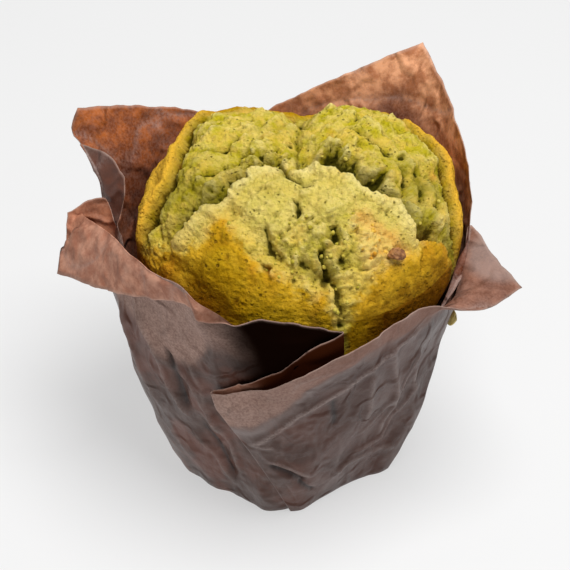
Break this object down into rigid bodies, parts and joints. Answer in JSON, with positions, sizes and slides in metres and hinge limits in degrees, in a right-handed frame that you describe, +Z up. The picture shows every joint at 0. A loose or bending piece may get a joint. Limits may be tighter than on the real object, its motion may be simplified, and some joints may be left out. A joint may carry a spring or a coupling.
{
  "type": "muffin in a paper case",
  "caption": "Green crumb muffin with a torn golden crown, baked in a pleated brown tulip paper case with four uneven corners.",
  "frame": {"origin": "middle of the case's round base, on the surface that it stands on", "axes": "+Z up, -Y towards the front pleat, +X towards the front right corner's side"},
  "size_m": [0.097, 0.0787, 0.081],
  "materials": {
    "paper": "matt brown baking paper, darker and smoother where grease has soaked in",
    "crumb": "baked crumb: golden crust with small pores, torn yellow-green crumb between",
    "crust": "golden baked batter"
  },
  "bodies": {
    "root": {"paper_case": "paper", "muffin": "crumb", "batter_drop": "crust"}
  },
  "joints": []
}
